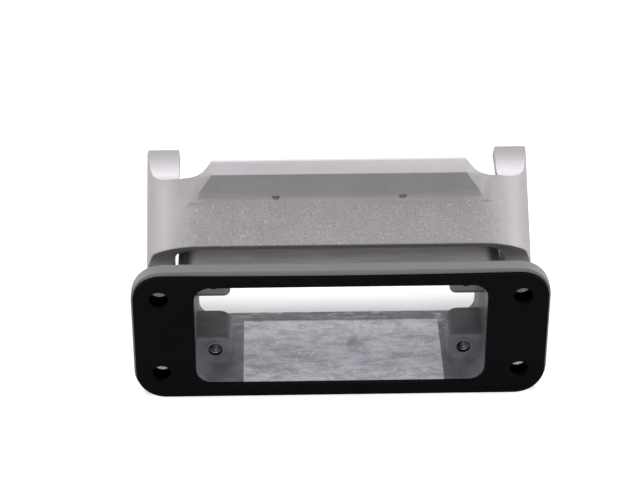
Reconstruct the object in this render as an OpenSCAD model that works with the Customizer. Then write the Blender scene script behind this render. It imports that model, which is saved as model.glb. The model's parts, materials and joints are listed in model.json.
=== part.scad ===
// Bulkhead housing of a heavy duty rectangular connector, with flange gasket,
// mating seal and a single locking lever swung open.
// X runs along the housing, +Y is the mating direction and +Z is up.
// The origin is the centre of the panel face of the flange gasket.

/* [Panel holes and flange] */
// Distance between panel screw holes along the housing
panel_pitch_x = 70; // [68:0.5:74]
// Distance between panel screw holes across the housing
panel_pitch_z = 17.5; // [16.5:0.1:20]
// Diameter of the panel screw holes
panel_hole_d = 3.8; // [3.2:0.1:4.4]
// Distance from the hole centres to the flange ends
hole_edge_x = 5.4; // [4:0.1:7]
// Distance from the hole centres to the long flange edges
hole_edge_z = 6.0; // [5:0.1:7]
// Radius of the flange corners
flange_r = 6.2; // [4:0.1:7]
// Thickness of the cast flange
flange_t = 3.2; // [2.5:0.1:4]
// Radius of the rounded back edge of the flange
flange_edge_r = 0.9; // [0.4:0.1:1.2]

/* [Gasket] */
// Thickness of the flange gasket
gasket_t = 1.0; // [0.6:0.1:1.6]
// Step from the flange edge back to the gasket edge
gasket_inset = 0.4; // [0:0.05:0.8]
// Clearance of the gasket round the tunnel
gasket_gap = 0.1; // [0:0.05:0.4]

/* [Tunnel] */
// Length of the opening for the insert
tunnel_l = 56.4; // [54:0.1:57]
// Height of the opening for the insert
tunnel_h = 22.9; // [22:0.1:23.2]
// Radius of the corners of the opening
tunnel_r = 3; // [2:0.1:3.6]
// Length of the milled pad on each long wall
pad_l = 39.6; // [30:0.1:41]
// Offset of the milled pads towards the right end
pad_shift = 0.7; // [0:0.1:1]
// Depth of the milled pads
pad_depth = 0.25; // [0.1:0.05:0.4]
// Width of the raised lip between pad and rim
lip_band = 2.5; // [1:0.1:3.5]

/* [Collar] */
// Wall of the collar at its ends
end_wall = 3.4; // [3:0.1:4]
// Wall of the collar along its long sides
long_wall = 2.35; // [2.2:0.05:2.6]
// Radius of the collar corners outside
collar_r = 5.2; // [4.6:0.1:6]
// Distance of the mating rim from the panel face
rim_y = 24.1; // [22:0.1:27]
// Height of the sloped foot where the collar meets the flange
foot_r = 1.2; // [0.5:0.1:1.8]

/* [Insert seats] */
// Distance between insert screws along the housing
insert_pitch_x = 49.2; // [48:0.1:50]
// Distance between insert screws across the housing
insert_pitch_z = 16; // [15:0.1:17]
// Diameter of the threaded holes for the insert screws
insert_hole_d = 2.6; // [2:0.1:3]
// Width of each screw boss inward of its screw
boss_inner = 3.2; // [2.6:0.1:4]
// Distance from the panel face to the boss
boss_y0 = 7.2; // [6:0.1:9]
// Length of the screw bosses up to the insert seat
boss_l = 8.5; // [7:0.1:11]
// Radius of the rounded boss edges
boss_r = 1.4; // [0.6:0.1:2]
// Height of the raised ring round each threaded hole
ring_h = 0.35; // [0.2:0.05:0.8]
// Wall of the raised ring round each threaded hole
ring_wall = 0.6; // [0.4:0.1:1]

/* [Mating seal] */
// Wall of the lip that carries the seal
seal_lip = 1.0; // [0.8:0.1:1.2]
// Height of the seal seat
seal_seat = 2.8; // [2:0.1:3.2]
// Height of the seal above the lip
seal_proud = 0.7; // [0.3:0.1:1.5]
// Clearance of the seal to lip and collar
seal_gap = 0.05; // [0.02:0.01:0.2]

/* [Pivot] */
// Distance of the lever pivot from the panel face
pivot_y = 13.5; // [12:0.1:15]
// Diameter of the pivot pins
pin_d = 4; // [3:0.1:5]
// Diameter of the round bosses behind the lever arms
pivot_boss_d = 9.6; // [8:0.1:11]
// Clearance between the round bosses and the lever arms
side_gap = 0.3; // [0.2:0.05:0.6]
// Radial clearance of the lever on its pins
pivot_gap = 0.05; // [0.02:0.01:0.09]
// Wall left between the pin hole and the tunnel
pin_floor = 0.7; // [0.4:0.1:1.2]
// Diameter of the pin heads
head_d = 7; // [6:0.1:8]
// Thickness of the pin heads
head_t = 0.9; // [0.6:0.1:1.2]
// Clearance round the pin heads
head_gap = 0.25; // [0.1:0.05:0.5]
// Wall of the lever's eye round the pin head
eye_wall = 2.4; // [1.5:0.1:3]

/* [Lever section] */
// Gap between each collar end and its lever arm
arm_gap = 1.1; // [0.8:0.1:2]
// Thickness of the lever arms
arm_t = 5.1; // [3.4:0.1:5.6]
// Gap between the collar and the latched handle wall
handle_gap = 0.95; // [0.8:0.05:1.8]
// Thickness of the handle wall
wall_t = 2.2; // [1.8:0.1:2.8]
// Outer radius where the handle wall turns into the arms
lever_r = 11; // [9:0.1:12]
// Inner radius of the same corner
lever_in_r = 6.6; // [6:0.1:7]

/* [Lever outline] */
// Distance from the pivot to the near edge of the handle wall
near_a = 5.6; // [5:0.1:6]
// Length of the flat textured face
face_a = 8.7; // [8:0.1:9.5]
// Length of the gentle ramp below the grip
ramp_a = 2.0; // [1.5:0.1:2.5]
// Height of the ramp where the grip's slope starts
ramp_h = 0.5; // [0.3:0.05:0.8]
// Length of the slope up to the grip's crest
slope_a = 2.9; // [2.4:0.1:3.4]
// Length of the band from the crest to the far edge of the grip
band_a = 3.4; // [3:0.1:4]
// Height of the grip's crest above the face
grip_h = 2.4; // [1.8:0.1:3]
// Length of the handle wall at the notches
notch_a = 14.0; // [13:0.1:14.5]
// Length of the arms at their tips
tip_a = 21.7; // [20.5:0.1:22]
// Width of each arm tip
tip_w = 6.5; // [5.8:0.1:7.2]
// Height of the thick arm ends above the pivot, at their near side
tip_pad_z = 9; // [8.8:0.1:10]
// Width of the notch between arm tip and grip
notch_w = 6.7; // [6:0.1:8]
// Width of the rounded flank between grip and notch
notch_r = 4.4; // [3:0.1:5]
// Radius of the hollow along the top of each arm tip
scoop_r = 8; // [7.5:0.1:9]
// Diameter of the two round marks at the foot of the grip
mark_d = 2.2; // [1:0.1:3]
// Depth of the two round marks
mark_depth = 0.3; // [0.1:0.05:0.5]
// Slant of each grip end from crest to foot
grip_slant = 2.6; // [1.5:0.1:3]
// Slant of each ramp end from the foot of the grip to the arm
ramp_slant = 3.7; // [3:0.1:4]
// Angle from the latched to the open position
open_angle = 40; // [30:1:50]

/* [Cam slot] */
// Distance from the pivot to the latched hood peg
peg_reach = 16.5; // [15:0.1:17.5]
// Width of the slot for the hood peg
slot_w = 6.4; // [5:0.1:7]
// Angle of the closed end of the slot past the peg
slot_end = 2; // [0:1:6]

/* [Hidden] */
$fn = 64;
eps = 0.01;

flange_l = panel_pitch_x + 2 * hole_edge_x;
flange_h = panel_pitch_z + 2 * hole_edge_z;
flange_back = gasket_t + flange_t;
collar_l = tunnel_l + 2 * end_wall;
collar_h = tunnel_h + 2 * long_wall;
pad_end = rim_y - lip_band;
seat_y = boss_y0 + boss_l;
seal_y = rim_y - seal_seat;
arm_in = collar_l / 2 + arm_gap;
lever_w = 2 * (arm_in + arm_t);
wall_z = collar_h / 2 + handle_gap + wall_t;
grip_w = lever_w - 2 * (tip_w + notch_w);
grip_foot_w = grip_w + 2 * grip_slant;
foot_a = face_a + ramp_a;
grip_a = foot_a + slope_a + band_a;
pivot_boss_x = arm_in - side_gap;
pin_root = tunnel_l / 2 + pin_floor;
head_x = lever_w / 2 - head_t;
boss_x = insert_pitch_x / 2 - boss_inner;
boss_z = insert_pitch_z / 2 - boss_inner;
wall_y = pivot_y + near_a;
slot_r_in = peg_reach - slot_w / 2;
slot_r_out = peg_reach + slot_w / 2;
eye_r = head_d / 2 + head_gap + eye_wall;

// Extrudes an X-Z outline along Y from y0 to y1.
module along_y(y0, y1) {
  translate([0, y1, 0]) rotate([90, 0, 0]) linear_extrude(y1 - y0) children();
}

// Extrudes a Y-Z outline along X from x0 to x1.
module along_x(x0, x1) {
  translate([x0, 0, 0]) rotate([90, 0, 90]) linear_extrude(x1 - x0) children();
}

// Rectangle with true corner arcs, centred on the origin.
module round_rect(w, h, r) {
  square([w - 2 * r, h], center = true);
  square([w, h - 2 * r], center = true);
  for (sx = [-1, 1], sz = [-1, 1])
    translate([sx * (w / 2 - r), sz * (h / 2 - r)]) circle(r);
}

// Repeats its children at the four corners of a rectangle.
module at_corners(pitch_x, pitch_z) {
  for (sx = [-1, 1], sz = [-1, 1])
    translate([sx * pitch_x / 2, 0, sz * pitch_z / 2]) children();
}

// Round bar along Y.
module bar_y(d, y0, y1) {
  translate([0, y1, 0]) rotate([90, 0, 0]) cylinder(d = d, h = y1 - y0);
}

// Round bar along X on the pivot axis.
module bar_x(d, x0, x1) {
  translate([x0, pivot_y, 0]) rotate([0, 90, 0]) cylinder(d = d, h = x1 - x0);
}

// Flange plate whose back edge is rounded in steps of a quarter circle.
module flange_plate() {
  steps = 4;
  hull() {
    along_y(gasket_t, flange_back - flange_edge_r)
      round_rect(flange_l, flange_h, flange_r, $fn = 32);
    for (i = [1:steps]) {
      inset = flange_edge_r * (1 - cos(90 * i / steps));
      rise = flange_edge_r * sin(90 * i / steps);
      along_y(gasket_t, flange_back - flange_edge_r + rise)
        round_rect(flange_l - 2 * inset, flange_h - 2 * inset, flange_r - inset, $fn = 32);
    }
  }
}

// Sloped foot that blends the collar into the flange.
module collar_foot() {
  foot_h = min(collar_h + 2 * foot_r, flange_h - 2 * flange_edge_r + 0.4);
  hull() {
    along_y(gasket_t + flange_edge_r, flange_back)
      round_rect(collar_l + 2 * foot_r, foot_h, collar_r + foot_r / 2, $fn = 32);
    along_y(gasket_t + flange_edge_r, flange_back + foot_r)
      round_rect(collar_l, collar_h, collar_r, $fn = 32);
  }
}

// Screw boss in one lower or upper corner of the tunnel, with a rounded inner edge.
module screw_boss() {
  depth_x = tunnel_l / 2 + 1 - boss_x;
  depth_z = tunnel_h / 2 + 1 - boss_z;
  intersection() {
    along_y(boss_y0, seat_y)
      translate([boss_x, boss_z]) {
        translate([boss_r, 0]) square([depth_x - boss_r, depth_z]);
        translate([0, boss_r]) square([depth_x, depth_z - boss_r]);
        translate([boss_r, boss_r]) circle(boss_r);
      }
    translate([boss_x, boss_y0, 0]) linear_extrude(tunnel_h) {
      square([depth_x, seat_y - boss_y0 - 2 * boss_r]);
      translate([2 * boss_r, 0]) square([depth_x - 2 * boss_r, seat_y - boss_y0]);
      translate([2 * boss_r, seat_y - boss_y0 - 2 * boss_r]) circle(2 * boss_r);
    }
  }
}

// The four screw bosses, each the mirror image of its neighbours.
module screw_bosses() {
  for (mx = [0, 1], mz = [0, 1])
    mirror([mx, 0, 0]) mirror([0, 0, mz]) screw_boss();
  at_corners(insert_pitch_x, insert_pitch_z)
    bar_y(insert_hole_d + 2 * ring_wall, boss_y0 - ring_h, boss_y0 + ring_wall);
}

// Die-cast housing: flange, collar, screw bosses and pivot bosses in one piece.
module housing() {
  color([0.55, 0.54, 0.53])
  difference() {
    union() {
      difference() {
        union() {
          flange_plate();
          collar_foot();
          along_y(gasket_t + flange_edge_r, rim_y) round_rect(collar_l, collar_h, collar_r);
          bar_x(pivot_boss_d, -pivot_boss_x, pivot_boss_x);
        }
        along_y(-eps, rim_y + eps) round_rect(tunnel_l, tunnel_h, tunnel_r);
        along_y(gasket_t - eps, pad_end)
          translate([pad_shift, 0])
            square([pad_l, tunnel_h + 2 * pad_depth], center = true);
        along_y(seal_y, rim_y + 1)
          difference() {
            square([collar_l + 2, collar_h + 2], center = true);
            round_rect(tunnel_l + 2 * seal_lip, tunnel_h + 2 * seal_lip, tunnel_r + seal_lip);
          }
      }
      screw_bosses();
    }
    at_corners(insert_pitch_x, insert_pitch_z)
      bar_y(insert_hole_d, boss_y0 - 1, seat_y + 1);
    at_corners(panel_pitch_x, panel_pitch_z)
      bar_y(panel_hole_d, 0, flange_back + 1);
    bar_x(pin_d, pin_root, lever_w / 2);
    bar_x(pin_d, -lever_w / 2, -pin_root);
  }
}

// Flat rubber gasket on the panel side of the flange.
module flange_gasket() {
  color([0.07, 0.07, 0.08])
  difference() {
    along_y(0, gasket_t)
      round_rect(flange_l - 2 * gasket_inset, flange_h - 2 * gasket_inset,
                 flange_r - gasket_inset);
    along_y(-1, gasket_t + 1)
      round_rect(tunnel_l + 2 * gasket_gap, tunnel_h + 2 * gasket_gap, tunnel_r + gasket_gap);
    at_corners(panel_pitch_x, panel_pitch_z) bar_y(panel_hole_d, -1, gasket_t + 1);
  }
}

// Rubber ring that sits round the lip of the mating rim.
module mating_seal() {
  color([0.09, 0.09, 0.1])
  difference() {
    along_y(seal_y + seal_gap, rim_y + seal_proud)
      round_rect(collar_l - 2 * seal_gap, collar_h - 2 * seal_gap, collar_r - seal_gap);
    along_y(seal_y - 1, rim_y + seal_proud + 1)
      round_rect(tunnel_l + 2 * (seal_lip + seal_gap), tunnel_h + 2 * (seal_lip + seal_gap),
                 tunnel_r + seal_lip + seal_gap);
  }
}

// Section of the lever in the X-Z plane: handle wall above, an arm on each side.
module lever_section() {
  low = -wall_z;
  difference() {
    union() {
      translate([-lever_w / 2 + lever_r, low]) square([lever_w - 2 * lever_r, wall_z - low]);
      translate([-lever_w / 2, low]) square([lever_w, wall_z - lever_r - low]);
      for (s = [-1, 1])
        translate([s * (lever_w / 2 - lever_r), wall_z - lever_r]) circle(lever_r);
    }
    translate([-arm_in + lever_in_r, low - 1])
      square([2 * (arm_in - lever_in_r), wall_z - wall_t - low + 1]);
    translate([-arm_in, low - 1])
      square([2 * arm_in, wall_z - wall_t - lever_in_r - low + 1]);
    for (s = [-1, 1])
      translate([s * (arm_in - lever_in_r), wall_z - wall_t - lever_in_r]) circle(lever_in_r);
  }
}

// Side outline of handle wall and arms in the Y-Z plane, with the pivot end rounded.
module arm_outline() {
  tip_y = wall_y + tip_a;
  finger_y = pivot_y + slot_r_out;
  difference() {
    arm_blank(tip_y, finger_y);
    translate([wall_y + notch_a + scoop_r, wall_z]) circle(scoop_r);
  }
  translate([pivot_y, 0]) circle(eye_r);
}

// The same outline before the tips are hollowed.
module arm_blank(tip_y, finger_y) {
  polygon([
    [wall_y, wall_z],
    [tip_y, wall_z],
    [tip_y - 0.5, slot_w / 2],
    [tip_y - 2.2, -slot_w / 2],
    [finger_y + 1.5, -slot_w * 0.75],
    [finger_y - 1, -slot_w * 0.85],
    [pivot_y + slot_r_in - 2, -eye_r],
    [pivot_y, -eye_r],
    [pivot_y - eye_r * cos(20), eye_r * sin(20)],
    [wall_y - 1.2, wall_z / 2 + 1],
    [wall_y, wall_z * 0.7]
  ]);
}

// Curved slot round the pivot that draws the hood peg in, open at the back.
module cam_slot() {
  translate([-lever_w, pivot_y, 0])
  rotate([90, 0, 90])
  linear_extrude(2 * lever_w) {
    difference() {
      circle(slot_r_out, $fn = 96);
      circle(slot_r_in, $fn = 96);
      rotate(slot_end) translate([-2 * slot_r_out, 0]) square([4 * slot_r_out, 2 * slot_r_out]);
      rotate(slot_end - 90) translate([-2 * slot_r_out, -2 * slot_r_out])
        square([4 * slot_r_out, 2 * slot_r_out]);
    }
    rotate(slot_end) translate([peg_reach, 0]) circle(slot_w / 2);
  }
}

// Notch between the grip and one arm tip, with a rounded flank beside the grip.
module handle_notch() {
  translate([grip_w / 2, wall_y + notch_a, wall_z - lever_r])
  linear_extrude(3 * lever_r)
  polygon([
    [notch_r, 0],
    [notch_w, 0],
    [notch_w, tip_a],
    [-notch_r * 0.16, tip_a],
    [-notch_r * 0.16, notch_r * 0.8],
    [notch_r * 0.02, notch_r * 0.62],
    [notch_r * 0.2, notch_r * 0.36],
    [notch_r * 0.43, notch_r * 0.16],
    [notch_r * 0.68, notch_r * 0.05]
  ]);
}

// Side view of the grip: ramp, slope, crest and falling band.
module grip_side() {
  crest_y = wall_y + foot_a + slope_a;
  far_y = wall_y + grip_a;
  inner_z = wall_z - wall_t;
  crest = wall_z + grip_h;
  polygon([
    [wall_y + face_a, wall_z],
    [wall_y + foot_a, wall_z + ramp_h],
    [crest_y, crest],
    [far_y - band_a * 0.15, crest - grip_h * 0.3],
    [far_y, crest - grip_h * 0.5],
    [far_y, inner_z + wall_t * 0.4],
    [far_y - wall_t * 0.4, inner_z],
    [wall_y + face_a, inner_z]
  ]);
}

// Front view of the grip, with two slants at each end.
module grip_front() {
  for (s = [0, 1])
    mirror([s, 0])
    polygon([
      [-eps, wall_z - wall_t],
      [grip_foot_w / 2, wall_z - wall_t],
      [grip_foot_w / 2 + ramp_slant, wall_z - wall_t],
      [grip_foot_w / 2 + ramp_slant, wall_z - ramp_h * 1.6],
      [grip_foot_w / 2, wall_z + ramp_h],
      [grip_w / 2, wall_z + grip_h],
      [-eps, wall_z + grip_h]
    ]);
}

// Raised grip along the far edge of the handle wall.
module grip() {
  intersection() {
    along_x(-lever_w, lever_w) grip_side();
    along_y(wall_y, wall_y + tip_a) grip_front();
  }
}

// Thick end of each arm, inward to the notch.
module tip_pads() {
  start_y = wall_y + notch_a + scoop_r * 0.19;
  end_y = wall_y + tip_a;
  rise = (end_y - start_y) * tan(open_angle);
  for (s = [0, 1])
    mirror([s, 0, 0])
    intersection() {
      along_x(lever_w / 2 - tip_w, arm_in + 1) arm_outline();
      along_x(0, lever_w)
        polygon([
          [start_y, tip_pad_z],
          [end_y, tip_pad_z - rise],
          [end_y, wall_z],
          [start_y, wall_z]
        ]);
    }
}

// Two small half-round ejector marks below the grip.
module grip_marks() {
  for (s = [-1, 1])
    translate([s * grip_w / 4, wall_y + foot_a - mark_d / 2, wall_z - mark_depth])
      cylinder(d = mark_d, h = 2 * mark_depth + ramp_h);
}

// Moulded lever in its latched position.
module lever_latched() {
  difference() {
    union() {
      intersection() {
        along_y(0, wall_y + 2 * tip_a) lever_section();
        along_x(-lever_w, lever_w) arm_outline();
      }
      grip();
      tip_pads();
    }
    for (s = [0, 1]) mirror([s, 0, 0]) handle_notch();
    grip_marks();
    cam_slot();
    bar_x(pin_d + 2 * pivot_gap, -lever_w, lever_w);
    for (s = [0, 1])
      mirror([s, 0, 0]) bar_x(head_d + 2 * head_gap, head_x - pivot_gap, lever_w);
  }
}

// Locking lever, turned about its pivot to the open stop.
module locking_lever() {
  color([0.66, 0.65, 0.64])
  translate([0, pivot_y, 0]) rotate([open_angle, 0, 0]) translate([0, -pivot_y, 0])
    lever_latched();
}

// Headed steel pin pressed into the right end of the housing.
module pivot_pin() {
  color([0.75, 0.75, 0.77]) {
    bar_x(pin_d, pin_root, lever_w / 2 - 0.1);
    bar_x(head_d, head_x, lever_w / 2 - 0.1);
  }
}

module left_pivot_pin() {
  mirror([1, 0, 0]) pivot_pin();
}

module right_pivot_pin() {
  pivot_pin();
}

housing();
flange_gasket();
mating_seal();
locking_lever();
left_pivot_pin();
right_pivot_pin();
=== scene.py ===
"""Dresses the bulkhead connector housing: camera, studio, finishes and the fine pieces."""

import json
import logging
import math
from dataclasses import dataclass
from enum import Enum
from functools import cached_property

import bmesh
import bpy
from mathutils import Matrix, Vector

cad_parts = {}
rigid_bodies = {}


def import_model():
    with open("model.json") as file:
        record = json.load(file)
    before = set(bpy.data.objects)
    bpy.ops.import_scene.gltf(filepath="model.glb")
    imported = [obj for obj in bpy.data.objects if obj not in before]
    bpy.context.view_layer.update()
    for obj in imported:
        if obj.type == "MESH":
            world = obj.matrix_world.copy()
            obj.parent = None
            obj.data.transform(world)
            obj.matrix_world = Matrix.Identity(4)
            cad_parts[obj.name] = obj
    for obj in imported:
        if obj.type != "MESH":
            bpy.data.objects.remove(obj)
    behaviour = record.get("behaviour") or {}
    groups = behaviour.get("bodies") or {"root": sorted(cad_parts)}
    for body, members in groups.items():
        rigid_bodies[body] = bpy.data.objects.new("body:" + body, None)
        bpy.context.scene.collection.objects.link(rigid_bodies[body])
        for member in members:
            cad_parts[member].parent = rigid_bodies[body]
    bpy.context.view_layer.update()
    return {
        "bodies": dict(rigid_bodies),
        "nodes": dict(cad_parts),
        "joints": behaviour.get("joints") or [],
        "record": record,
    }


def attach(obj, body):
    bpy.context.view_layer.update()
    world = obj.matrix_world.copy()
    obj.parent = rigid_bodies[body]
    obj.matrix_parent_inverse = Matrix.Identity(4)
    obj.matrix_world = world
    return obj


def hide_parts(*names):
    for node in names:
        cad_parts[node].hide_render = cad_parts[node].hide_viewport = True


log = logging.getLogger("connector")

MM = 0.001

Socket = bpy.types.NodeSocket
Colour = tuple[float, float, float]
Triple = tuple[float, float, float]
Band = tuple[float, float]

FRAME: dict[str, object] = {}


class Body(Enum):
    """The rigid bodies of the part."""

    BASE = "base"
    LEVER = "lever"


class Slot(Enum):
    """The material slots that the record names."""

    CASTING = "coated_casting"
    RUBBER = "black_rubber"
    PLASTIC = "grey_plastic"
    STEEL = "pin_steel"


@dataclass(frozen=True)
class Grain:
    """One fractal noise pattern: features for each metre, finer layers, stretch and warp."""

    scale: float
    detail: float = 3.0
    rough: float = 0.55
    stretch: Triple = (1.0, 1.0, 1.0)
    warp: float = 0.0


class Graph:
    """A small helper that wires one material's or world's node tree."""

    def __init__(self, owner: bpy.types.ID, output: str) -> None:
        """Starts an empty tree with its output node.

        Args:
            owner: The material or world.
            output: Type name of its output node.
        """
        owner.use_nodes = True
        self.owner = owner
        self.tree = owner.node_tree
        self.tree.nodes.clear()
        self.output = self.tree.nodes.new(output)

    @classmethod
    def material(cls, name: str) -> "Graph":
        """Starts a material.

        Args:
            name: The material's name.

        Returns:
            Its empty graph.
        """
        return cls(bpy.data.materials.new(name), "ShaderNodeOutputMaterial")

    @cached_property
    def place(self) -> Socket:
        """The surface point's place in the part's own frame."""
        return self.add("ShaderNodeTexCoord").outputs["Object"]

    def add(self, kind: str, **settings: object) -> bpy.types.Node:
        """Adds a node and sets its properties.

        Args:
            kind: The node's type name.
            **settings: Properties of the node.

        Returns:
            The new node.
        """
        node = self.tree.nodes.new(kind)
        for key, value in settings.items():
            setattr(node, key, value)
        return node

    def feed(self, socket: Socket, value: object) -> None:
        """Links a socket or sets a plain value on it.

        Args:
            socket: The input socket.
            value: Another socket to link from, or a value.
        """
        if isinstance(value, Socket):
            self.tree.links.new(value, socket)
        else:
            socket.default_value = value

    def math(self, operation: str, a: object, b: object = 0.0) -> Socket:
        """Calculates with one or two values.

        Args:
            operation: The math node's operation.
            a: First value or socket.
            b: Second value or socket.

        Returns:
            The result's socket.
        """
        node = self.add("ShaderNodeMath", operation=operation)
        self.feed(node.inputs[0], a)
        self.feed(node.inputs[1], b)
        return node.outputs[0]

    def axes(self) -> tuple[Socket, ...]:
        """Returns the X, Y and Z coordinates of the surface point."""
        split = self.add("ShaderNodeSeparateXYZ")
        self.feed(split.inputs[0], self.place)
        return tuple(split.outputs)

    def times(self, *factors: object) -> Socket:
        """Multiplies values.

        Args:
            *factors: Two or more sockets or numbers.

        Returns:
            The product's socket.
        """
        product = factors[0]
        for factor in factors[1:]:
            product = self.math("MULTIPLY", product, factor)
        return product

    def size(self, value: Socket) -> Socket:
        """Drops a value's sign.

        Args:
            value: The value's socket.

        Returns:
            The absolute value's socket.
        """
        return self.math("ABSOLUTE", value)

    def away(self, a: Socket, b: Socket) -> Socket:
        """Measures how far a point in a plane is from its origin.

        Args:
            a: First coordinate.
            b: Second coordinate.

        Returns:
            The distance's socket.
        """
        return self.math("SQRT", self.math("ADD", self.times(a, a), self.times(b, b)))

    def noise(self, grain: Grain) -> Socket:
        """Makes fractal noise.

        Args:
            grain: The pattern.

        Returns:
            The noise value's socket.
        """
        mapping = self.add("ShaderNodeMapping")
        self.feed(mapping.inputs["Vector"], self.place)
        mapping.inputs["Scale"].default_value = grain.stretch
        node = self.add("ShaderNodeTexNoise")
        self.feed(node.inputs["Vector"], mapping.outputs[0])
        node.inputs["Scale"].default_value = grain.scale
        node.inputs["Detail"].default_value = grain.detail
        node.inputs["Roughness"].default_value = grain.rough
        node.inputs["Distortion"].default_value = grain.warp
        return node.outputs["Fac"]

    def ramp(self, value: object, band: Band) -> Socket:
        """Maps a value to 0 at a band's first end and 1 at its second, with a soft change.

        Args:
            value: The value's socket.
            band: The two ends.

        Returns:
            The mapped value's socket.
        """
        node = self.add("ShaderNodeMapRange", interpolation_type="SMOOTHSTEP")
        self.feed(node.inputs["Value"], value)
        node.inputs["From Min"].default_value = band[0]
        node.inputs["From Max"].default_value = band[1]
        return node.outputs[0]

    def inside(self, value: object, half: float, edge: float) -> Socket:
        """Marks where a coordinate is nearer to zero than a half size.

        Args:
            value: The coordinate.
            half: The half size in metres.
            edge: Width of the soft edge in metres.

        Returns:
            A socket that is 1 inside and 0 outside.
        """
        return self.ramp(self.size(value), (half + edge / 2, half - edge / 2))

    def mix(self, factor: object, a: object, b: object) -> Socket:
        """Mixes two colours.

        Args:
            factor: Share of b.
            a: Colour or socket at 0.
            b: Colour or socket at 1.

        Returns:
            The mixed colour's socket.
        """
        node = self.add("ShaderNodeMix", data_type="RGBA")
        self.feed(node.inputs[0], factor)
        for socket, value in ((node.inputs[6], a), (node.inputs[7], b)):
            self.feed(socket, (*value, 1.0) if isinstance(value, tuple) else value)
        return node.outputs[2]

    def shade(self, colour: Socket, factor: float) -> Socket:
        """Multiplies a colour by one factor.

        Args:
            colour: The colour's socket.
            factor: The factor.

        Returns:
            The shaded colour's socket.
        """
        node = self.add("ShaderNodeVectorMath", operation="SCALE")
        self.feed(node.inputs[0], colour)
        node.inputs["Scale"].default_value = factor
        return node.outputs[0]

    def blend(self, factor: object, a: object, b: object) -> Socket:
        """Mixes two numbers.

        Args:
            factor: Share of b.
            a: Number or socket at 0.
            b: Number or socket at 1.

        Returns:
            The mixed number's socket.
        """
        node = self.add("ShaderNodeMix", data_type="FLOAT")
        self.feed(node.inputs[0], factor)
        self.feed(node.inputs[2], a)
        self.feed(node.inputs[3], b)
        return node.outputs[0]

    def bump(self, height: object, depth: float, below: object = None) -> Socket:
        """Turns a height pattern into a surface normal.

        Args:
            height: The height's socket, from 0 to 1.
            depth: Depth of the relief in metres.
            below: Normal of a coarser relief, if any.

        Returns:
            The normal's socket.
        """
        node = self.add("ShaderNodeBump")
        node.inputs["Strength"].default_value = 1.0
        node.inputs["Distance"].default_value = depth
        self.feed(node.inputs["Height"], height)
        if below is not None:
            self.feed(node.inputs["Normal"], below)
        return node.outputs[0]

    def surface(self, **inputs: object) -> bpy.types.Material:
        """Closes the tree with one principled shader.

        Args:
            **inputs: Shader inputs, with underscores for spaces.

        Returns:
            The finished material.
        """
        shader = self.add("ShaderNodeBsdfPrincipled")
        for key, value in inputs.items():
            socket = shader.inputs[key.replace("_", " ")]
            self.feed(socket, (*value, 1.0) if isinstance(value, tuple) else value)
        self.feed(self.output.inputs[0], shader.outputs[0])
        return self.owner

    def shown_or_lit(self, lit: Socket, shown: Socket, *rays: str) -> None:
        """Closes the tree with one shader for some kinds of ray and another for the rest.

        Args:
            lit: Shader for all other rays.
            shown: Shader for the named rays.
            *rays: Names of the kinds of ray, at least one.
        """
        path = self.add("ShaderNodeLightPath")
        factor = path.outputs[rays[0]]
        for ray in rays[1:]:
            factor = self.math("MAXIMUM", factor, path.outputs[ray])
        mix = self.add("ShaderNodeMixShader")
        for socket, value in zip(mix.inputs, (factor, lit, shown)):
            self.feed(socket, value)
        self.feed(self.output.inputs[0], mix.outputs[0])


def tinted(colour: Colour, factor: float) -> Colour:
    """Multiplies a plain colour by a factor.

    Args:
        colour: The colour.
        factor: The factor.

    Returns:
        The lighter or darker colour, no brighter than white.
    """
    return tuple(min(1.0, c * factor) for c in colour)


@dataclass(frozen=True)
class TunnelPaint:
    """Bluish overspray on the tunnel's walls, with painted shade on the bosses, and scratched near
    the rim.
    """

    film: Colour = (0.222, 0.219, 0.240)
    film_range: Band = (0.82, 1.25)
    film_grain: Grain = Grain(260.0, 4.0, 0.6)
    film_band: Band = (0.3, 0.75)
    shade: Colour = (0.008, 0.008, 0.010)
    boss_x: Band = (21.2 * MM, 21.5 * MM)
    boss_gap_z: float = 5.3 * MM
    boss_edge: float = 0.4 * MM
    boss_y: Band = (16.2 * MM, 15.6 * MM)
    boss_shade_share: float = 0.54
    bright: Colour = (0.90, 0.88, 0.95)
    scratch_grain: Grain = Grain(900.0, 4.0, 0.75, (0.35, 1.5, 1.0))
    scratch_band: Band = (0.50, 0.68)
    scratch_y: Band = (13.0 * MM, 21.0 * MM)
    scratch_z: Band = (10.6 * MM, 11.2 * MM)
    scratch_share: float = 0.5

    def tone(self, g: Graph, x: Socket, y: Socket, z: Socket) -> Socket:
        """Paints the tunnel's walls.

        Args:
            g: The material's graph.
            x: The X coordinate.
            y: The Y coordinate.
            z: The Z coordinate.

        Returns:
            The colour's socket.
        """
        low, high = self.film_range
        colour = g.mix(g.ramp(g.noise(self.film_grain), self.film_band),
                       tinted(self.film, low), tinted(self.film, high))
        # Painted shade: the bosses are darkened towards the shade colour.
        boss_shade = g.times(g.ramp(g.size(x), self.boss_x),
                       g.inside(z, self.boss_gap_z, self.boss_edge), g.ramp(y, self.boss_y))
        colour = g.mix(g.times(boss_shade, self.boss_shade_share), colour, self.shade)
        scratch = g.times(g.ramp(g.noise(self.scratch_grain), self.scratch_band),
                          g.ramp(y, self.scratch_y), g.ramp(g.size(z), self.scratch_z))
        return g.mix(g.times(scratch, self.scratch_share), colour, self.bright)


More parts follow.
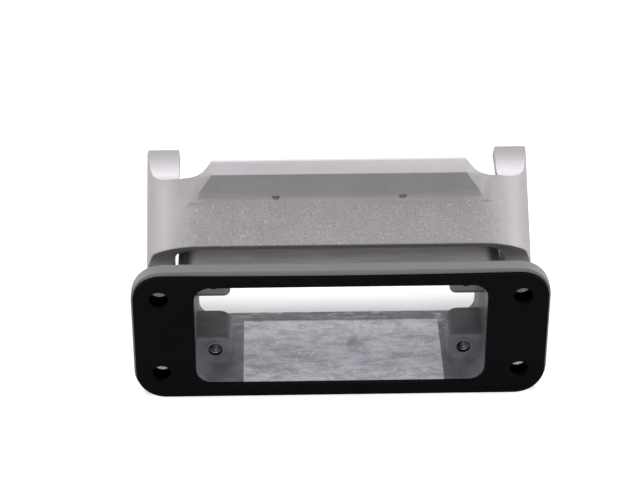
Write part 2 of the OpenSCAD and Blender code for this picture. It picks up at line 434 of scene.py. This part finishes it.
@dataclass(frozen=True)
class MilledPad:
    """Bare mottled metal with bright veins and one small stain."""

    light: Colour = (0.90, 0.88, 0.95)
    dark: Colour = (0.47, 0.465, 0.52)
    flow_share: float = 0.75
    fleck_grain: Grain = Grain(1300.0, 3.0, 0.7, (0.7, 1.3, 1.0))
    marble_band: Band = (0.36, 0.62)
    vein: Colour = (1.0, 1.0, 1.0)
    vein_grain: Grain = Grain(420.0, 3.0, 0.6, (0.8, 1.1, 1.0), 0.6)
    vein_level: float = 0.5
    vein_band: Band = (0.022, 0.004)
    vein_share: float = 0.8
    patch_grain: Grain = Grain(340.0, 2.0, 0.5)
    patch_band: Band = (0.48, 0.58)
    stain: Colour = (0.20, 0.195, 0.185)
    stain_at: Band = (1.5 * MM, 14.5 * MM)
    stain_size: Band = (4.5 * MM, 2.6 * MM)
    stain_grain: Grain = Grain(90.0, 3.0, 0.6, warp=0.8)
    stain_band: Band = (0.38, 0.56)
    stain_reach: Band = (1.2, 0.2)
    stain_share: float = 0.8

    def marble(self, g: Graph, flow: Socket) -> Socket:
        """Mixes the mottled pattern.

        Args:
            g: The material's graph.
            flow: The coarse noise.

        Returns:
            A socket from 0 (dark) to 1 (light).
        """
        blend = g.math("ADD", g.times(flow, self.flow_share),
                       g.times(g.noise(self.fleck_grain), 1.0 - self.flow_share))
        return g.ramp(blend, self.marble_band)

    def tone(self, g: Graph, x: Socket, y: Socket, marble: Socket) -> Socket:
        """Paints the pads.

        Args:
            g: The material's graph.
            x: The X coordinate.
            y: The Y coordinate.
            marble: The mottled pattern.

        Returns:
            The colour's socket.
        """
        colour = g.mix(marble, self.dark, self.light)
        level = g.math("SUBTRACT", g.noise(self.vein_grain), self.vein_level)
        veins = g.times(g.ramp(g.size(level), self.vein_band),
                        g.ramp(g.noise(self.patch_grain), self.patch_band))
        colour = g.mix(g.times(veins, self.vein_share), colour, self.vein)
        off = [g.math("DIVIDE", g.math("SUBTRACT", axis, middle), size)
               for axis, middle, size in zip((x, y), self.stain_at, self.stain_size)]
        stain = g.times(g.ramp(g.away(*off), self.stain_reach),
                        g.ramp(g.noise(self.stain_grain), self.stain_band))
        return g.mix(g.times(stain, self.stain_share), colour, self.stain)


@dataclass(frozen=True)
class OuterCoat:
    """Rough grey coating, with painted light on the flange and painted black shade at the collar's
    ends.
    """

    coat: Colour = (0.268, 0.257, 0.263)
    coat_range: Band = (0.86, 1.12)
    streak_band: Band = (0.35, 0.7)
    fleck_band: Band = (0.62, 0.78)
    fleck_gain: float = 1.5
    flange_light_y: Band = (3.45 * MM, 3.25 * MM)
    flange_light_gain: float = 1.16
    flange_light_share: float = 0.75
    shade: Colour = (0.008, 0.008, 0.010)
    end_x: Band = (27.8 * MM, 29.6 * MM)
    end_y: Band = (4.6 * MM, 6.0 * MM)
    end_z: Band = (8.0 * MM, 11.5 * MM)
    end_shade_share: float = 0.98

    def tone(self, g: Graph, axes: tuple[Socket, ...], streaks: Socket, grain: Socket) -> Socket:
        """Paints the outside.

        Args:
            g: The material's graph.
            axes: The X, Y and Z coordinates.
            streaks: The streaked noise.
            grain: The fine noise.

        Returns:
            The colour's socket.
        """
        x, y, z = axes
        low, high = self.coat_range
        colour = g.mix(g.ramp(streaks, self.streak_band), tinted(self.coat, low),
                       tinted(self.coat, high))
        colour = g.mix(g.ramp(grain, self.fleck_band), colour, tinted(self.coat, self.fleck_gain))
        # Painted light: the flange's coat is lightened, standing in for the light that the collar
        # misses.
        flange = g.times(g.ramp(y, self.flange_light_y), self.flange_light_share)
        colour = g.mix(flange, colour, tinted(self.coat, self.flange_light_gain))
        # Painted shade: the ends of the collar's top are darkened to near black.
        ends = g.times(g.ramp(g.size(x), self.end_x), g.ramp(z, self.end_z), g.ramp(y, self.end_y))
        return g.mix(g.times(ends, self.end_shade_share), colour, self.shade)


@dataclass(frozen=True)
class CoatedCasting:
    """The casting: coated outside, oversprayed in the tunnel, bare on the milled pads, with painted
    shade in the screw holes.
    """

    outside: OuterCoat = OuterCoat()
    inside: TunnelPaint = TunnelPaint()
    pad: MilledPad = MilledPad()
    bore_shade: Colour = (0.002, 0.002, 0.002)
    panel_hole: Triple = (35.0 * MM, 8.75 * MM, 2.0 * MM)
    insert_hole: Triple = (24.6 * MM, 8.0 * MM, 1.38 * MM)
    hole_edge: Band = (0.06 * MM, -0.02 * MM)
    tunnel_half_x: float = 28.3 * MM
    tunnel_half_z: float = 11.85 * MM
    tunnel_edge: float = 0.1 * MM
    pad_half_x: float = 19.8 * MM
    pad_shift: float = 0.7 * MM
    pad_edge: float = 0.05 * MM
    pad_y: Band = (21.62 * MM, 21.58 * MM)
    pad_z: Band = (11.55 * MM, 11.59 * MM)
    flow_grain: Grain = Grain(300.0, 6.0, 0.72, (0.6, 1.3, 1.0), 0.5)
    fine_grain: Grain = Grain(2600.0, 4.0, 0.65)
    streak_grain: Grain = Grain(420.0, 4.0, 0.7, (0.25, 1.6, 1.0), 0.4)
    coat_rough: float = 0.55
    inner_rough: float = 0.42
    pad_rough: Band = (0.45, 0.6)
    inner_metal: float = 0.2
    pad_metal: float = 0.3
    level: float = 0.5
    streak_depth: float = 0.10 * MM
    grain_depth: float = 0.035 * MM
    specular: float = 0.45

    def bore_shade_mask(self, g: Graph, x: Socket, z: Socket) -> Socket:
        """Marks the walls of the screw holes, which get painted shade.

        Args:
            g: The material's graph.
            x: The X coordinate.
            z: The Z coordinate.

        Returns:
            A socket that is 1 on the walls of the holes.
        """
        marks = []
        for hole_x, hole_z, radius in (self.panel_hole, self.insert_hole):
            away = g.away(g.math("SUBTRACT", g.size(x), hole_x),
                          g.math("SUBTRACT", g.size(z), hole_z))
            marks.append(g.ramp(away, tuple(radius + edge for edge in self.hole_edge)))
        return g.math("MAXIMUM", marks[0], marks[1])

    def build(self) -> bpy.types.Material:
        """Builds the casting's material.

        Returns:
            The material.
        """
        g = Graph.material(Slot.CASTING.value)
        x, y, z = g.axes()
        tunnel = g.times(g.inside(x, self.tunnel_half_x, self.tunnel_edge),
                         g.inside(z, self.tunnel_half_z, self.tunnel_edge))
        pad_x = g.inside(g.math("SUBTRACT", x, self.pad_shift), self.pad_half_x, self.pad_edge)
        pad = g.times(pad_x, g.ramp(y, self.pad_y), g.ramp(g.size(z), self.pad_z), tunnel)
        bore_shade_mask = self.bore_shade_mask(g, x, z)
        flow, grain, streaks = (g.noise(pattern) for pattern in
                                (self.flow_grain, self.fine_grain, self.streak_grain))
        marble = self.pad.marble(g, flow)

        colour = g.mix(tunnel, self.outside.tone(g, (x, y, z), streaks, grain),
                       self.inside.tone(g, x, y, z))
        colour = g.mix(pad, colour, self.pad.tone(g, x, y, marble))
        # Painted shade: the walls of the screw holes are painted near black.
        colour = g.mix(bore_shade_mask, colour, self.bore_shade)
        rough = g.blend(pad, g.blend(tunnel, self.coat_rough, self.inner_rough),
                        g.blend(marble, *self.pad_rough))
        metal = g.blend(pad, g.times(tunnel, self.inner_metal), self.pad_metal)
        coarse = g.bump(g.blend(tunnel, streaks, self.level), self.streak_depth)
        fine = g.bump(g.blend(pad, grain, flow), self.grain_depth, coarse)
        # The screw holes' painted shade also switches off their specular.
        return g.surface(Base_Color=colour, Roughness=rough, Metallic=metal, Normal=fine,
                         Specular_IOR_Level=g.blend(bore_shade_mask, self.specular, 0.0))


@dataclass(frozen=True)
class BlackRubber:
    """Moulded black rubber with a faint satin skin."""

    base: Colour = (0.0016, 0.0015, 0.0024)
    worn: Colour = (0.0032, 0.0030, 0.0046)
    cloud_grain: Grain = Grain(160.0, 4.0, 0.6)
    cloud_band: Band = (0.35, 0.75)
    roughness: Band = (0.56, 0.72)
    specular: float = 0.07
    wave_grain: Grain = Grain(110.0, 1.0)
    wave_depth: float = 0.05 * MM
    skin_grain: Grain = Grain(3200.0, 3.0, 0.6)
    skin_depth: float = 0.008 * MM

    def build(self) -> bpy.types.Material:
        """Builds the rubber's material.

        Returns:
            The material.
        """
        g = Graph.material(Slot.RUBBER.value)
        cloud = g.noise(self.cloud_grain)
        wave = g.bump(g.noise(self.wave_grain), self.wave_depth)
        return g.surface(Base_Color=g.mix(g.ramp(cloud, self.cloud_band), self.base, self.worn),
                         Roughness=g.blend(cloud, *self.roughness),
                         Specular_IOR_Level=self.specular,
                         Normal=g.bump(g.noise(self.skin_grain), self.skin_depth, wave))


@dataclass(frozen=True)
class MouldedPlastic:
    """Light grey engineering plastic, spark-eroded on the flat face and smooth elsewhere, with
    painted shade on the grip's slope and the handle's near edge.
    """

    smooth: Colour = (0.385, 0.368, 0.374)
    textured: Colour = (0.330, 0.312, 0.316)
    slope_shade: Colour = (0.275, 0.265, 0.275)
    fleck: Colour = (0.60, 0.58, 0.59)
    shadow: Colour = (0.05, 0.048, 0.05)
    face_near: Band = (5.2 * MM, 5.7 * MM)
    face_far: Band = (15.2 * MM, 14.2 * MM)
    face_half_x: float = 28.5 * MM
    face_fade: float = 5.0 * MM
    face_high: Band = (15.5 * MM, 16.3 * MM)
    slope_near: Band = (14.3 * MM, 15.5 * MM)
    slope_far: Band = (19.45 * MM, 19.1 * MM)
    slope_foot: float = 16.95 * MM
    slope_rise: Band = (-0.3 * MM, 0.05 * MM)
    slope_slant: float = 1.2
    slope_x: Band = (28.1 * MM, 27.5 * MM)
    under_reach: Band = (5.85 * MM, 5.65 * MM)
    under_high: Band = (9.0 * MM, 11.0 * MM)
    under_x: Band = (37.2 * MM, 36.4 * MM)
    under_shade_share: float = 0.55
    cloud_grain: Grain = Grain(120.0, 4.0, 0.6)
    cloud_band: Band = (0.3, 0.7)
    cloud_range: Band = (0.95, 1.05)
    relief_spread: float = 3.2 * MM
    relief_range: Band = (0.12, 1.0)
    dot_grain: Grain = Grain(2600.0, 2.0, 0.5)
    dot_band: Band = (0.56, 0.72)
    dot_share: float = 0.55
    pit_grain: Grain = Grain(2300.0, 2.0, 0.5)
    pit_band: Band = (0.46, 0.30)
    pit_share: float = 0.45
    pit_tint: float = 0.55
    fine_grain: Grain = Grain(1900.0, 4.0, 0.6)
    fine_depth: float = 0.07 * MM
    soft_grain: Grain = Grain(900.0, 3.0, 0.6)
    soft_depth: float = 0.10 * MM
    roughness: Band = (0.37, 0.54)
    specular: float = 0.5

    def lever_axes(self, g: Graph) -> tuple[Socket, ...]:
        """Gives a point's place along the open lever.

        Args:
            g: The material's graph.

        Returns:
            Sockets for X without sign, the reach from the pivot and the height above it.
        """
        pivot, along, outward = open_lever()
        x, y, z = g.axes()
        dy = g.math("SUBTRACT", y, pivot.y)
        reach, height = (g.math("ADD", g.times(dy, way.y), g.times(z, way.z))
                         for way in (along, outward))
        return g.size(x), reach, height

    def face(self, g: Graph, place: tuple[Socket, ...], spread: float = 0.0) -> Socket:
        """Marks the flat textured face.

        Args:
            g: The material's graph.
            place: The point's place along the lever.
            spread: How much further the mark reaches to each side.

        Returns:
            A socket that is 1 on the textured face.
        """
        across, reach, height = place
        return g.times(g.ramp(reach, self.face_near), g.ramp(reach, self.face_far),
                       g.inside(across, self.face_half_x + spread, self.face_fade),
                       g.ramp(height, self.face_high))

    def under(self, g: Graph, place: tuple[Socket, ...]) -> Socket:
        """Marks the near edge of the handle, which faces the collar and gets painted shade.

        Args:
            g: The material's graph.
            place: The point's place along the lever.

        Returns:
            A socket that is 1 on the near edge.
        """
        across, reach, height = place
        return g.times(g.ramp(reach, self.under_reach), g.ramp(across, self.under_x),
                       g.ramp(height, self.under_high))

    def slope(self, g: Graph, place: tuple[Socket, ...]) -> Socket:
        """Marks the slope between the face and the crest of the grip, which gets painted shade.

        Args:
            g: The material's graph.
            place: The point's place along the lever.

        Returns:
            A socket that is 1 on the slope.
        """
        across, reach, height = place
        rise = g.math("SUBTRACT", height, self.slope_foot)
        slant = g.math("ADD", across, g.times(rise, self.slope_slant))
        return g.times(g.ramp(reach, self.slope_near), g.ramp(reach, self.slope_far),
                       g.ramp(slant, self.slope_x), g.ramp(rise, self.slope_rise))

    def build(self) -> bpy.types.Material:
        """Builds the plastic's material.

        Returns:
            The material.
        """
        g = Graph.material(Slot.PLASTIC.value)
        place = self.lever_axes(g)
        base = g.mix(self.face(g, place), self.smooth, self.textured)
        # Painted shade: the slope is darkened towards the slope shade colour.
        base = g.mix(self.slope(g, place), base, self.slope_shade)
        # Painted shade: the handle's near edge is darkened towards the shadow colour.
        base = g.mix(g.times(self.under(g, place), self.under_shade_share), base, self.shadow)
        low, high = self.cloud_range
        colour = g.mix(g.ramp(g.noise(self.cloud_grain), self.cloud_band),
                       g.shade(base, low), g.shade(base, high))
        relief = g.blend(self.face(g, place, self.relief_spread), *self.relief_range)
        dots = g.times(g.ramp(g.noise(self.dot_grain), self.dot_band), relief, self.dot_share)
        pits = g.times(g.ramp(g.noise(self.pit_grain), self.pit_band), relief, self.pit_share)
        colour = g.mix(dots, colour, self.fleck)
        colour = g.mix(pits, colour, tinted(self.textured, self.pit_tint))
        grain = g.noise(self.fine_grain)
        soft = g.bump(g.times(g.noise(self.soft_grain), relief), self.soft_depth)
        return g.surface(Base_Color=colour, Roughness=g.blend(grain, *self.roughness),
                         Specular_IOR_Level=self.specular,
                         Normal=g.bump(g.times(grain, relief), self.fine_depth, soft))


@dataclass(frozen=True)
class TurnedSteel:
    """Plain turned steel with fine rings about the pin's axis."""

    base: Colour = (0.55, 0.55, 0.56)
    tint: Band = (0.85, 1.1)
    ring_grain: Grain = Grain(2400.0, 3.0, 0.7, (1.0, 0.3, 0.3))
    ring_depth: float = 0.006 * MM
    roughness: Band = (0.24, 0.4)

    def build(self) -> bpy.types.Material:
        """Builds the steel's material.

        Returns:
            The material.
        """
        g = Graph.material(Slot.STEEL.value)
        rings = g.noise(self.ring_grain)
        low, high = self.tint
        return g.surface(Base_Color=g.mix(rings, tinted(self.base, low), tinted(self.base, high)),
                         Metallic=1.0, Roughness=g.blend(rings, *self.roughness),
                         Normal=g.bump(rings, self.ring_depth))


@dataclass
class SoftEdgedPiece:
    """A CAD node's twin whose edges are rounded as mould and die leave them."""

    node: str
    body: Body
    slot: Slot
    name: str
    edge_radius: float = 0.35 * MM
    steps: int = 2
    edge_angle: float = math.radians(32)
    sharp_angle: float = math.radians(40)
    flat_angle: float = math.radians(0.8)
    merge_reach: float = 0.002 * MM

    def build(self, material: bpy.types.Material) -> bpy.types.Object:
        """Copies the node, merges its faces and rounds its edges.

        Args:
            material: The finish of the piece.

        Returns:
            The new piece.
        """
        mesh = FRAME["nodes"][self.node].data.copy()
        shape = bmesh.new()
        shape.from_mesh(mesh)
        bmesh.ops.remove_doubles(shape, verts=shape.verts, dist=self.merge_reach)
        bmesh.ops.dissolve_limit(shape, angle_limit=self.flat_angle, verts=shape.verts,
                                 edges=shape.edges, use_dissolve_boundaries=False)
        self.form(shape)
        shape.to_mesh(mesh)
        shape.free()
        piece = bpy.data.objects.new(self.name, mesh)
        bpy.context.scene.collection.objects.link(piece)
        mesh.materials.clear()
        mesh.materials.append(material)
        bevel = piece.modifiers.new("edges", "BEVEL")
        bevel.width = self.edge_radius
        bevel.segments = self.steps
        bevel.limit_method = "ANGLE"
        bevel.angle_limit = self.edge_angle
        bevel.harden_normals = False
        bevel.use_clamp_overlap = True
        bake(piece)
        for face in piece.data.polygons:
            face.use_smooth = True
        piece.data.set_sharp_from_angle(angle=self.sharp_angle)
        weigh = piece.modifiers.new("even_shading", "WEIGHTED_NORMAL")
        weigh.keep_sharp = True
        bake(piece)
        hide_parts(self.node)
        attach(piece, self.body.value)
        log.info("piece %s: %d faces", self.name, len(piece.data.polygons))
        return piece

    def form(self, shape: bmesh.types.BMesh) -> None:
        """Leaves a rigid piece as it is; softer pieces give their own form.

        Args:
            shape: The merged mesh.
        """


@dataclass
class SaggingGasket(SoftEdgedPiece):
    """The gasket, whose long upper bar hangs a little at mid-length."""

    bar_bottom_z: float = 11.5 * MM
    bar_top_z: float = 14.35 * MM
    even_sag: float = 0.35 * MM
    middle_sag: float = 0.40 * MM
    cut_pitch: float = 3.0 * MM
    cut_reach: float = 0.001 * MM
    half_length: float = 40.0 * MM

    def form(self, shape: bmesh.types.BMesh) -> None:
        """Cuts the bar into short lengths and lowers its outer edge.

        Args:
            shape: The merged mesh.
        """
        count = int(self.half_length / self.cut_pitch)
        for i in range(-count, count + 1):
            geometry = list(shape.verts) + list(shape.edges) + list(shape.faces)
            bmesh.ops.bisect_plane(shape, geom=geometry, dist=self.cut_reach,
                                   plane_co=(i * self.cut_pitch, 0.0, 0.0),
                                   plane_no=(1.0, 0.0, 0.0))
        for vert in shape.verts:
            share = (vert.co.z - self.bar_bottom_z) / (self.bar_top_z - self.bar_bottom_z)
            if share > 0.0:
                wave = math.cos(math.pi * vert.co.x / (2.0 * self.half_length))
                vert.co.z -= share * (self.even_sag + self.middle_sag * wave)


@dataclass
class LeverMoulding(SoftEdgedPiece):
    """The lever, with tips a little longer and round marks cut to halves."""

    tip_growth: float = 1.0 * MM
    tip_start: float = 21.8 * MM
    tip_end: float = 27.3 * MM
    mark_x: float = 12.3 * MM
    mark_reach: float = 15.2 * MM
    mark_radius: float = 1.2 * MM
    mark_height: float = 16.3 * MM
    mark_scale: float = 0.72
    mark_shift: float = 0.35 * MM
    ramp_slope: float = 0.25

    def form(self, shape: bmesh.types.BMesh) -> None:
        """Draws the tips out and halves the round marks, along the open lever's own axes.

        Args:
            shape: The merged mesh.
        """
        pivot, along, outward = open_lever()
        for vert in shape.verts:
            reach = (vert.co - pivot).dot(along)
            share = (reach - self.tip_start) / (self.tip_end - self.tip_start)
            if share > 0.0:
                vert.co += along * (self.tip_growth * min(share, 1.0))
            side = math.copysign(self.mark_x, vert.co.x)
            off = Vector((vert.co.x - side, reach - self.mark_reach))
            height = (vert.co - pivot).dot(outward)
            if off.length < self.mark_radius and height > self.mark_height:
                moved = self.mark_shift + min(off.y, 0.0) * self.mark_scale - off.y
                vert.co.x = side + off.x * self.mark_scale
                vert.co += along * moved + outward * (moved * self.ramp_slope)


@dataclass
class ScrewThread:
    """The thread in one insert-screw hole, swept along a helix."""

    name: str
    x: float
    z: float
    y_start: float = 7.2 * MM
    y_end: float = 15.5 * MM
    radius: float = 1.3 * MM
    pitch: float = 0.5 * MM
    wire: float = 0.16 * MM
    turn_steps: int = 20
    wire_sides: int = 6

    def build(self, material: bpy.types.Material) -> bpy.types.Object:
        """Sweeps a small profile along a helix with geometry nodes.

        Args:
            material: The finish of the thread.

        Returns:
            The thread's piece.
        """
        length = self.y_end - self.y_start
        tree = bpy.data.node_groups.new(self.name + "_sweep", "GeometryNodeTree")
        inputs = {"Turns": length / self.pitch, "Radius": self.radius, "Length": length,
                  "Wire": self.wire}
        for label, value in inputs.items():
            socket = tree.interface.new_socket(label, in_out="INPUT", socket_type="NodeSocketFloat")
            socket.default_value = value
        tree.interface.new_socket("Geometry", in_out="OUTPUT", socket_type="NodeSocketGeometry")
        nodes, links = tree.nodes, tree.links
        group_in = nodes.new("NodeGroupInput")
        group_out = nodes.new("NodeGroupOutput")
        spiral = nodes.new("GeometryNodeCurveSpiral")
        spiral.inputs["Resolution"].default_value = self.turn_steps
        links.new(group_in.outputs["Turns"], spiral.inputs["Rotations"])
        links.new(group_in.outputs["Radius"], spiral.inputs["Start Radius"])
        links.new(group_in.outputs["Radius"], spiral.inputs["End Radius"])
        links.new(group_in.outputs["Length"], spiral.inputs["Height"])
        profile = nodes.new("GeometryNodeCurvePrimitiveCircle")
        profile.inputs["Resolution"].default_value = self.wire_sides
        links.new(group_in.outputs["Wire"], profile.inputs["Radius"])
        sweep = nodes.new("GeometryNodeCurveToMesh")
        sweep.inputs["Fill Caps"].default_value = True
        links.new(spiral.outputs[0], sweep.inputs["Curve"])
        links.new(profile.outputs[0], sweep.inputs["Profile Curve"])
        turn = nodes.new("GeometryNodeTransform")
        turn.inputs["Rotation"].default_value = (-math.pi / 2, 0.0, 0.0)
        turn.inputs["Translation"].default_value = (self.x, self.y_start, self.z)
        links.new(sweep.outputs[0], turn.inputs["Geometry"])
        real = nodes.new("GeometryNodeRealizeInstances")
        links.new(turn.outputs[0], real.inputs[0])
        dress = nodes.new("GeometryNodeSetMaterial")
        dress.inputs["Material"].default_value = material
        links.new(real.outputs[0], dress.inputs["Geometry"])
        links.new(dress.outputs[0], group_out.inputs[0])

        piece = bpy.data.objects.new(self.name, bpy.data.meshes.new(self.name))
        bpy.context.scene.collection.objects.link(piece)
        modifier = piece.modifiers.new("sweep", "NODES")
        modifier.node_group = tree
        for item in tree.interface.items_tree:
            if item.in_out == "INPUT":
                modifier[item.identifier] = inputs[item.name]
        bake(piece)
        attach(piece, Body.BASE.value)
        log.info("piece %s: %d faces", self.name, len(piece.data.polygons))
        return piece


@dataclass(frozen=True)
class Lamp:
    """One square soft box."""

    name: str
    place: Triple
    size: float
    power: float
    colour: Colour = (1.0, 1.0, 1.0)
    only_on: tuple[str, ...] = ()

    def hang(self) -> None:
        """Hangs the soft box, aimed at the part, and flags it off all but its own pieces."""
        data = bpy.data.lights.new(self.name, "AREA")
        data.size = self.size
        data.energy = self.power
        data.color = self.colour
        lamp = bpy.data.objects.new(self.name, data)
        lamp.location = self.place
        lamp.rotation_euler = (-Vector(self.place)).to_track_quat("-Z", "Y").to_euler()
        bpy.context.scene.collection.objects.link(lamp)
        if self.only_on:
            lit = bpy.data.collections.new(self.name + "_lit")
            for name in self.only_on:
                lit.objects.link(bpy.data.objects[name])
            lamp.light_linking.receiver_collection = lit


@dataclass
class Studio:
    """Camera, soft lights, world and floor."""

    location: Triple = (-0.01282, -0.34437, 0.25200)
    aim: Triple = (56.315, -0.083, -1.395)
    lens: float = 123.75
    sensor: float = 36.0
    floor_z: float = -14.85 * MM
    floor_half: float = 4.0
    floor_colour: Colour = (0.8, 0.8, 0.8)
    floor_glow: float = 0.75
    dark_x: Band = (40.0 * MM, 37.0 * MM)
    dark_near: Band = (0.5 * MM, 3.0 * MM)
    dark_far: Band = (42.0 * MM, 24.0 * MM)
    background: float = 1.0
    world_light: float = 0.36
    lamps: tuple[Lamp, ...] = (
        Lamp("top", (0.0, 0.08, 0.75), 0.80, 1.4),
        Lamp("left", (-0.75, 0.0, 0.09), 0.50, 4.2, (1.0, 0.98, 1.0)),
        Lamp("right", (0.75, 0.0, 0.09), 0.50, 4.8, (1.0, 0.98, 1.0)),
        Lamp("front", (0.05, -0.70, 0.46), 0.50, 1.4),
        Lamp("back", (0.0, 0.55, 0.55), 0.70, 9.5, (0.94, 0.93, 1.0),
             ("locking_lever_moulding",)),
    )

    def place_camera(self) -> None:
        """Puts the camera at the viewing angle."""
        data = bpy.data.cameras.new("camera")
        data.lens = self.lens
        data.sensor_width = self.sensor
        camera = bpy.data.objects.new("camera", data)
        camera.location = self.location
        camera.rotation_euler = [math.radians(a) for a in self.aim]
        bpy.context.scene.collection.objects.link(camera)
        bpy.context.scene.camera = camera

    def light_world(self) -> None:
        """Shows a white background and gives a weaker even light."""
        world = bpy.data.worlds.new("world")
        g = Graph(world, "ShaderNodeOutputWorld")
        lit, shown = (g.add("ShaderNodeBackground") for _ in range(2))
        lit.inputs["Strength"].default_value = self.world_light
        shown.inputs["Strength"].default_value = self.background
        g.shown_or_lit(lit.outputs[0], shown.outputs[0], "Is Camera Ray", "Is Transmission Ray",
                       "Is Glossy Ray")
        bpy.context.scene.world = world

    def lay_floor(self) -> None:
        """Lays a wide pale floor that keeps the part's shadow; its camera-only glow is cut in a
        patch around the part's footprint, which paints shade there.
        """
        g = Graph.material("floor_white")
        diffuse = g.add("ShaderNodeBsdfDiffuse")
        diffuse.inputs["Color"].default_value = (*self.floor_colour, 1.0)
        glow = g.add("ShaderNodeEmission")
        x, y, _ = g.axes()
        # Painted shade: the floor does not glow beneath and behind the part, so it renders darker
        # there.
        dark = g.times(g.ramp(g.size(x), self.dark_x), g.ramp(y, self.dark_near),
                       g.ramp(y, self.dark_far))
        g.feed(glow.inputs["Strength"], g.blend(dark, self.floor_glow, 0.0))
        both = g.add("ShaderNodeAddShader")
        g.feed(both.inputs[0], diffuse.outputs[0])
        g.feed(both.inputs[1], glow.outputs[0])
        g.shown_or_lit(diffuse.outputs[0], both.outputs[0], "Is Camera Ray")
        mesh = bpy.data.meshes.new("floor")
        corners = [(sx * self.floor_half, sy * self.floor_half, self.floor_z)
                   for sx, sy in ((-1, -1), (1, -1), (1, 1), (-1, 1))]
        mesh.from_pydata(corners, [], [range(4)])
        mesh.materials.append(g.owner)
        floor = bpy.data.objects.new("floor", mesh)
        bpy.context.scene.collection.objects.link(floor)

    def build(self) -> None:
        """Builds the whole studio."""
        bpy.context.scene.view_settings.view_transform = "Standard"
        self.place_camera()
        self.light_world()
        self.lay_floor()
        for lamp in self.lamps:
            lamp.hang()
        log.info("studio ready")


@dataclass
class Housing:
    """The casting with its rubber parts, pins and screw threads."""

    screw_x: float = 24.6 * MM
    screw_z: float = 8.0 * MM
    thread_colour: Colour = (0.26, 0.26, 0.27)
    casting_edge: float = 0.22 * MM
    gasket_edge: float = 0.15 * MM
    seal_edge: float = 0.45 * MM
    pin_edge: float = 0.15 * MM

    def build(self) -> None:
        """Dresses every piece of the base."""
        rubber = BlackRubber().build()
        steel = TurnedSteel().build()
        thread = TurnedSteel(base=self.thread_colour).build()
        SoftEdgedPiece("housing", Body.BASE, Slot.CASTING, "housing_casting",
                       self.casting_edge).build(CoatedCasting().build())
        SaggingGasket("flange_gasket", Body.BASE, Slot.RUBBER, "flange_gasket_sheet",
                      self.gasket_edge).build(rubber)
        SoftEdgedPiece("mating_seal", Body.BASE, Slot.RUBBER, "mating_seal_ring",
                       self.seal_edge, steps=3).build(rubber)
        for side in ("left", "right"):
            SoftEdgedPiece(f"{side}_pivot_pin", Body.BASE, Slot.STEEL, f"{side}_pin_turned",
                           self.pin_edge).build(steel)
        for sx, column in ((-1, "l"), (1, "r")):
            for sz, row in ((-1, "l"), (1, "u")):
                ScrewThread(f"insert_thread_{column}{row}", sx * self.screw_x,
                            sz * self.screw_z).build(thread)


@dataclass
class Lever:
    """The moulded locking lever."""

    edge: float = 0.5 * MM

    def build(self) -> None:
        """Dresses the lever."""
        LeverMoulding("locking_lever", Body.LEVER, Slot.PLASTIC, "locking_lever_moulding",
                      self.edge, steps=3).build(MouldedPlastic().build())


def open_lever() -> tuple[Vector, Vector, Vector]:
    """Reads how the open lever stands.

    Returns:
        The pivot, the way along the open lever and the way out of its face.
    """
    joint = FRAME["record"]["behaviour"]["joints"][0]
    turn = math.radians(-joint["range_deg"][0])
    return (Vector(joint["pos_m"]), Vector((0.0, math.cos(turn), math.sin(turn))),
            Vector((0.0, -math.sin(turn), math.cos(turn))))


def bake(piece: bpy.types.Object) -> None:
    """Replaces a piece's mesh by its evaluated one and removes its modifiers.

    Args:
        piece: The object to bake.
    """
    graph = bpy.context.evaluated_depsgraph_get()
    mesh = bpy.data.meshes.new_from_object(piece.evaluated_get(graph))
    piece.modifiers.clear()
    old = piece.data
    piece.data = mesh
    mesh.name = piece.name
    bpy.data.meshes.remove(old)


def main() -> None:
    """Builds the scene."""
    logging.basicConfig(level=logging.INFO, format="%(name)s: %(message)s")
    FRAME.update(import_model())
    Housing().build()
    Lever().build()
    Studio().build()
    log.info("sizes written")


if __name__ == "__main__":
    main()
